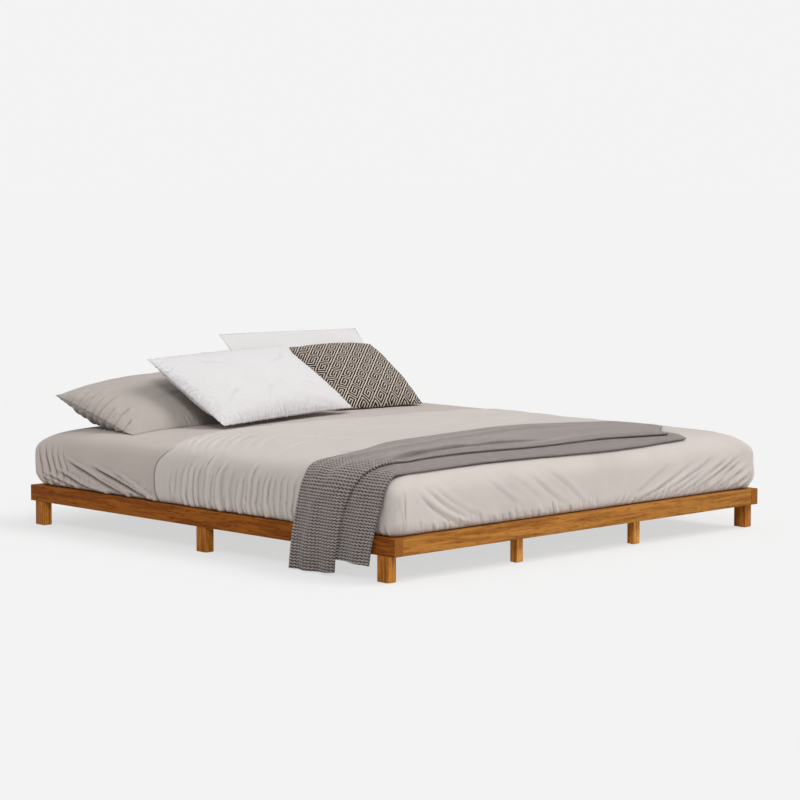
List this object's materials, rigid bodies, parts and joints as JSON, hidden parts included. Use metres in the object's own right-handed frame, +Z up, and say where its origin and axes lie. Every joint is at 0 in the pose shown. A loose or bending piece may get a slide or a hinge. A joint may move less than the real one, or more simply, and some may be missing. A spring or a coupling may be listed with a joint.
{
  "type": "low platform bed with bedding",
  "caption": "Low slatted timber platform bed on short square legs, with mattress, sheet, flat top cover, knitted throw and pillows.",
  "frame": {"origin": "middle of the timber frame's plan, on the floor", "axes": "+Z up, +Y from the foot of the bed to the head, +X to the right for someone standing at the foot and looking at the bed"},
  "size_m": [2.026, 2.144, 0.7144],
  "materials": {
    "stained_pine": "satin",
    "slat_pine": "matte",
    "dowel_beech": "matte",
    "zinc_steel": "satin",
    "webbing": "matte",
    "felt": "matte",
    "mattress_ticking": "matte",
    "sheet_taupe": "matte",
    "cover_taupe": "matte",
    "throw_knit": "matte",
    "pillow_fill": "matte",
    "pillow_grey": "matte",
    "pillow_white": "matte",
    "pillow_offwhite": "matte",
    "cushion_weave": "matte"
  },
  "bodies": {
    "frame": {"beam_angles": "zinc_steel", "beam_leg_foot_left": "stained_pine", "beam_leg_foot_right": "stained_pine", "beam_leg_head_left": "stained_pine", "beam_leg_head_right": "stained_pine", "beam_leg_middle_left": "stained_pine", "beam_leg_middle_right": "stained_pine", "centre_beam_left": "stained_pine", "centre_beam_right": "stained_pine", "corner_bracket_foot_left": "zinc_steel", "corner_bracket_foot_right": "zinc_steel", "corner_bracket_head_left": "zinc_steel", "corner_bracket_head_right": "zinc_steel", "floor_glides": "felt", "foot_rail": "stained_pine", "head_rail": "stained_pine", "leg_bolts": "zinc_steel", "leg_foot_left": "stained_pine", "leg_foot_right": "stained_pine", "leg_head_left": "stained_pine", "leg_head_right": "stained_pine", "leg_side_left": "stained_pine", "leg_side_right": "stained_pine", "rail_dowels": "dowel_beech", "side_rail_left": "stained_pine", "side_rail_right": "stained_pine", "slat_01": "slat_pine", "slat_02": "slat_pine", "slat_03": "slat_pine", "slat_04": "slat_pine", "slat_05": "slat_pine", "slat_06": "slat_pine", "slat_07": "slat_pine", "slat_08": "slat_pine", "slat_09": "slat_pine", "slat_10": "slat_pine", "slat_11": "slat_pine", "slat_12": "slat_pine", "slat_13": "slat_pine", "slat_ledge_left": "stained_pine", "slat_ledge_right": "stained_pine", "slat_webbing": "webbing", "wood_screws": "zinc_steel"},
    "mattress": {"mattress": "mattress_ticking", "fitted_sheet": "sheet_taupe", "top_cover": "cover_taupe"},
    "throw": {"throw_blanket": "throw_knit"},
    "grey_left": {"grey_pillow_left_case": "pillow_grey", "grey_pillow_left_insert": "pillow_fill"},
    "grey_right": {"grey_pillow_right_case": "pillow_grey", "grey_pillow_right_insert": "pillow_fill"},
    "back_pillow": {"back_pillow_case": "pillow_offwhite", "back_pillow_insert": "pillow_fill"},
    "cushion": {"patterned_cushion_case": "cushion_weave", "patterned_cushion_insert": "pillow_fill"},
    "white_pillow": {"white_pillow_case": "pillow_white", "white_pillow_insert": "pillow_fill"}
  },
  "joints": [
    {"name": "mattress_lift", "type": "slide", "parent": "frame", "child": "mattress", "axis": [0, 0, 1], "range_m": [0, 0.4]},
    {"name": "throw_lift", "type": "slide", "parent": "mattress", "child": "throw", "axis": [0, 0, 1], "range_m": [0, 0.45]},
    {"name": "grey_left_pull", "type": "slide", "parent": "mattress", "child": "grey_left", "axis": [-1, 0, 0], "range_m": [0, 1]},
    {"name": "grey_right_pull", "type": "slide", "parent": "mattress", "child": "grey_right", "axis": [1, 0, 0], "range_m": [0, 1]},
    {"name": "back_pillow_lift", "type": "slide", "parent": "mattress", "child": "back_pillow", "axis": [0, 0, 1], "range_m": [0, 0.4]},
    {"name": "cushion_lift", "type": "slide", "parent": "back_pillow", "child": "cushion", "axis": [0, 0, 1], "range_m": [0, 0.4]},
    {"name": "white_pillow_lift", "type": "slide", "parent": "cushion", "child": "white_pillow", "axis": [0, 0, 1], "range_m": [0, 0.4]}
  ]
}
